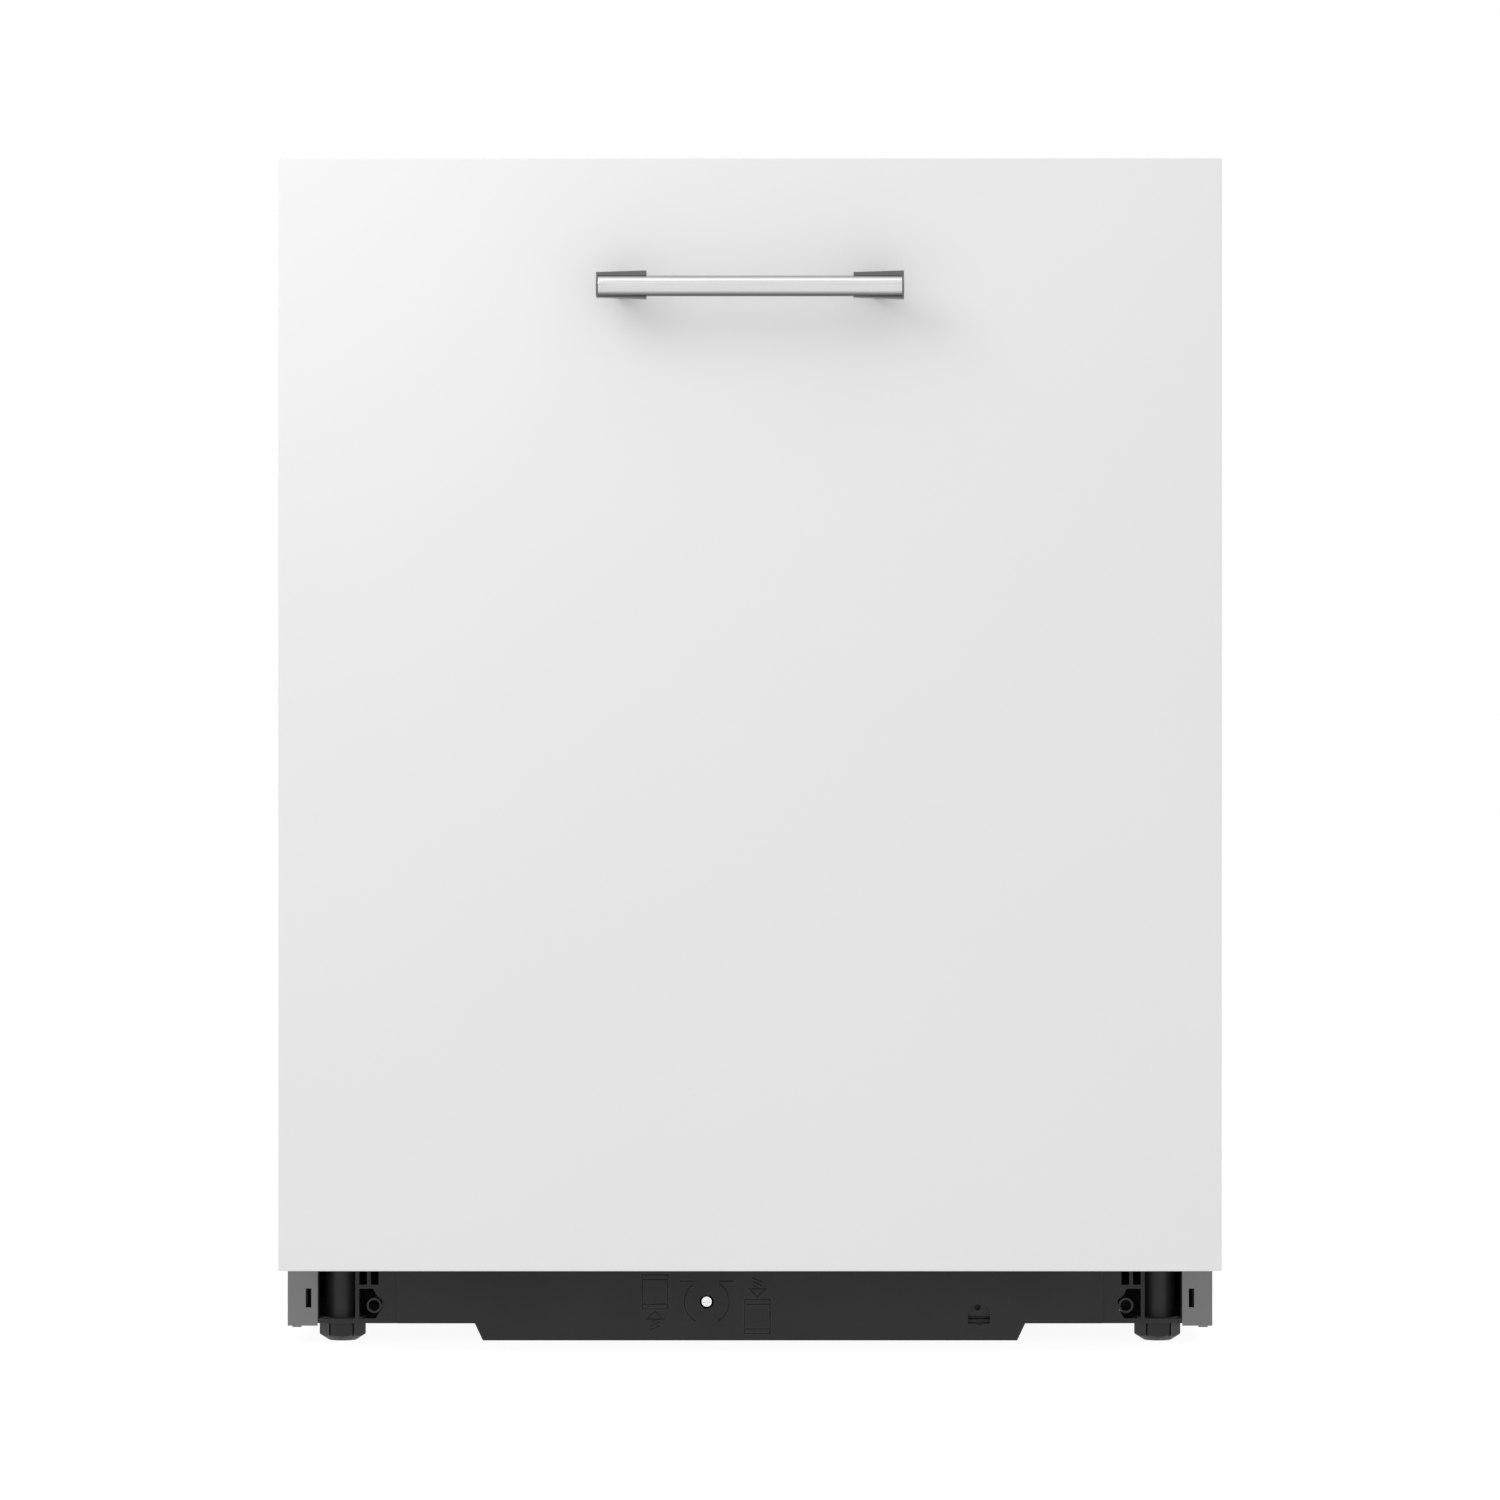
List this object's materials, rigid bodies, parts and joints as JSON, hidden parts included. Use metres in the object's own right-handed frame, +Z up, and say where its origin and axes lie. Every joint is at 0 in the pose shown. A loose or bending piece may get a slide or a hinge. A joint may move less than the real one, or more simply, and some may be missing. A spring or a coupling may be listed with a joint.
{
  "type": "built in dishwasher",
  "caption": "Fully integrated dishwasher with a white furniture door and bar handle, hinged door, sliding racks and cutlery tray, spray arms and levelling feet.",
  "frame": {"origin": "on the floor, under the middle of the bounding box", "axes": "+Z up, -Y out of the furniture door, +X to the right when facing the door"},
  "size_m": [0.598, 0.606, 0.7585],
  "materials": {
    "white_lacquer": "satin white lacquer over fibreboard",
    "satin_steel": "brushed along its length",
    "dark_zinc": "dark grey satin coat",
    "grey_coated_steel": "smooth grey coat",
    "galvanised_steel": "zinc coated, slightly mottled",
    "stainless_steel": "fine brushed grain",
    "black_plastic": "fine moulded texture",
    "black_gloss": "polished black",
    "seal_rubber": "matt rubber",
    "damping_mat": "felted sound mat",
    "light_plastic": "moulded off-white plastic",
    "grey_plastic": "moulded mid-grey plastic",
    "motor_grey": "dark motor housing",
    "spring_steel": "oiled spring wire",
    "zinc_plate": "bright zinc plate",
    "coated_wire": "grey nylon coated wire",
    "silver_plastic": "metallic finish",
    "circuit_board": "green solder mask"
  },
  "bodies": {
    "cabinet": {"base_tray": "black_plastic", "base_front": "black_plastic", "side_panel_left": "grey_coated_steel", "side_panel_right": "grey_coated_steel", "rear_panel": "galvanised_steel", "tub_shell": "stainless_steel", "tub_floor": "stainless_steel", "front_frame": "stainless_steel", "tub_gasket": "seal_rubber", "top_insulation": "damping_mat", "top_rails": "galvanised_steel", "worktop_brackets": "galvanised_steel", "latch_strike": "galvanised_steel", "sump": "light_plastic", "filter_plate": "stainless_steel", "circulation_pump": "motor_grey", "drain_pump": "grey_plastic", "inlet_valve": "light_plastic", "drain_spigot": "grey_plastic", "cord_gland": "black_plastic", "softener": "light_plastic", "feed_pipe": "grey_plastic", "hinge_brackets": "galvanised_steel", "door_springs": "spring_steel", "fixed_rails": "stainless_steel"},
    "door": {"front_panel": "white_lacquer", "handle_bar": "satin_steel", "handle_brackets": "dark_zinc", "door_outer_sheet": "galvanised_steel", "door_inner_liner": "stainless_steel", "control_housing": "black_plastic", "display_window": "black_gloss", "control_board": "circuit_board", "hinge_arms": "galvanised_steel", "door_lock": "black_plastic", "dispenser_body": "light_plastic"},
    "latch_pawl": {"latch_pawl": "zinc_plate"},
    "dispenser_lid": {"dispenser_lid": "grey_plastic"},
    "rinse_aid_cap": {"rinse_aid_cap": "grey_plastic"},
    "button_power": {"button_power": "silver_plastic"},
    "button_program": {"button_program": "silver_plastic"},
    "button_option": {"button_option": "silver_plastic"},
    "button_start": {"button_start": "silver_plastic"},
    "lower_rack": {"lower_rack": "coated_wire"},
    "fold_down_tines": {"fold_down_tines": "coated_wire"},
    "lower_wheels_front": {"lower_wheels_front": "grey_plastic"},
    "lower_wheels_rear": {"lower_wheels_rear": "grey_plastic"},
    "upper_rack": {"upper_rack": "coated_wire"},
    "upper_spray_arm": {"upper_spray_arm": "grey_plastic"},
    "cup_shelf": {"cup_shelf": "grey_plastic"},
    "upper_middle_rails": {"upper_middle_rails": "stainless_steel"},
    "cutlery_tray": {"cutlery_tray": "grey_plastic"},
    "lower_spray_arm": {"lower_spray_arm": "grey_plastic"},
    "top_spray_arm": {"top_spray_arm": "grey_plastic"},
    "filter_cup": {"filter_cup": "grey_plastic"},
    "softener_cap": {"softener_cap": "light_plastic"},
    "front_foot_left": {"front_foot_left": "black_plastic"},
    "front_foot_right": {"front_foot_right": "black_plastic"},
    "rear_foot": {"rear_foot": "black_plastic"},
    "rear_foot_adjuster": {"rear_foot_adjuster": "zinc_plate"}
  },
  "joints": [
    {"name": "door_hinge", "type": "hinge", "parent": "cabinet", "child": "door", "pos_m": [0, -0.229, 0.1], "axis": [1, 0, 0], "range_deg": [0, 90], "stiffness_Nm_per_rad": 26},
    {"name": "latch_pawl_swing", "type": "hinge", "parent": "door", "child": "latch_pawl", "pos_m": [0, -0.225, 0.7491], "axis": [1, 0, 0], "range_deg": [0, 6], "stiffness_Nm_per_rad": 0.2},
    {"name": "dispenser_lid_slide", "type": "slide", "parent": "door", "child": "dispenser_lid", "axis": [0, 0, -1], "range_m": [0, 0.062]},
    {"name": "rinse_aid_cap_turn", "type": "hinge", "parent": "door", "child": "rinse_aid_cap", "pos_m": [0.038, -0.205, 0.47], "axis": [0, 1, 0], "range_deg": [0, 90]},
    {"name": "button_power_press", "type": "slide", "parent": "door", "child": "button_power", "axis": [0, 0, -1], "range_m": [0, 0.0015], "stiffness_N_per_m": 600},
    {"name": "button_program_press", "type": "slide", "parent": "door", "child": "button_program", "axis": [0, 0, -1], "range_m": [0, 0.0015], "stiffness_N_per_m": 600},
    {"name": "button_option_press", "type": "slide", "parent": "door", "child": "button_option", "axis": [0, 0, -1], "range_m": [0, 0.0015], "stiffness_N_per_m": 600},
    {"name": "button_start_press", "type": "slide", "parent": "door", "child": "button_start", "axis": [0, 0, -1], "range_m": [0, 0.0015], "stiffness_N_per_m": 600},
    {"name": "lower_rack_slide", "type": "slide", "parent": "cabinet", "child": "lower_rack", "axis": [0, -1, 0], "range_m": [0, 0.1452]},
    {"name": "wheels_front_roll", "type": "hinge", "parent": "lower_rack", "child": "lower_wheels_front", "pos_m": [0, -0.085, 0.1493], "axis": [1, 0, 0], "range_deg": [0, 490]},
    {"name": "wheels_rear_roll", "type": "hinge", "parent": "lower_rack", "child": "lower_wheels_rear", "pos_m": [0, 0.175, 0.1493], "axis": [1, 0, 0], "range_deg": [0, 490]},
    {"name": "tines_fold", "type": "hinge", "parent": "lower_rack", "child": "fold_down_tines", "pos_m": [0, -0.125, 0.1824], "axis": [-1, 0, 0], "range_deg": [0, 90]},
    {"name": "upper_rack_slide", "type": "slide", "parent": "cabinet", "child": "upper_rack", "axis": [0, -1, 0], "range_m": [0, 0.4002]},
    {"name": "middle_rails_slide", "type": "slide", "parent": "cabinet", "child": "upper_middle_rails", "axis": [0, -1, 0], "range_m": [0, 0.2002]},
    {"name": "upper_arm_spin", "type": "hinge", "parent": "upper_rack", "child": "upper_spray_arm", "pos_m": [0, 0.03, 0.45], "axis": [0, 0, 1], "continuous": true},
    {"name": "cup_shelf_fold", "type": "hinge", "parent": "upper_rack", "child": "cup_shelf", "pos_m": [0.229, 0, 0.556], "axis": [0, -1, 0], "range_deg": [0, 90]},
    {"name": "cutlery_tray_slide", "type": "slide", "parent": "cabinet", "child": "cutlery_tray", "axis": [0, -1, 0], "range_m": [0, 0.3602]},
    {"name": "lower_arm_spin", "type": "hinge", "parent": "cabinet", "child": "lower_spray_arm", "pos_m": [0, 0.03, 0.147], "axis": [0, 0, 1], "continuous": true},
    {"name": "top_arm_spin", "type": "hinge", "parent": "cabinet", "child": "top_spray_arm", "pos_m": [0, 0.03, 0.706], "axis": [0, 0, 1], "continuous": true},
    {"name": "filter_cup_turn", "type": "hinge", "parent": "cabinet", "child": "filter_cup", "pos_m": [0.078, 0.068, 0.1], "axis": [0, 0, 1], "range_deg": [0, 90]},
    {"name": "softener_cap_turn", "type": "hinge", "parent": "cabinet", "child": "softener_cap", "pos_m": [-0.165, -0.075, 0.124], "axis": [0, 0, 1], "range_deg": [0, 360]},
    {"name": "front_foot_left_screw", "type": "slide", "parent": "cabinet", "child": "front_foot_left", "axis": [0, 0, -1], "range_m": [0, 0.05]},
    {"name": "front_foot_right_screw", "type": "slide", "parent": "cabinet", "child": "front_foot_right", "axis": [0, 0, -1], "range_m": [0, 0.05]},
    {"name": "rear_foot_screw", "type": "slide", "parent": "cabinet", "child": "rear_foot", "axis": [0, 0, -1], "range_m": [0, 0.054]},
    {"name": "rear_adjuster_turn", "type": "hinge", "parent": "cabinet", "child": "rear_foot_adjuster", "pos_m": [-0.028, 0, 0.026], "axis": [0, 1, 0], "range_deg": [0, 3600]}
  ],
  "couplings": [
    {"joint": "lower_rack_slide", "follows": "door_hinge", "m_per_rad": 0.0923},
    {"joint": "wheels_front_roll", "follows": "door_hinge", "ratio": 5.4294},
    {"joint": "wheels_rear_roll", "follows": "door_hinge", "ratio": 5.4294},
    {"joint": "upper_rack_slide", "follows": "door_hinge", "m_per_rad": 0.2546},
    {"joint": "middle_rails_slide", "follows": "door_hinge", "m_per_rad": 0.1273},
    {"joint": "cutlery_tray_slide", "follows": "door_hinge", "m_per_rad": 0.2291},
    {"joint": "rear_foot_screw", "follows": "rear_adjuster_turn", "m_per_rad": 0.000796}
  ]
}
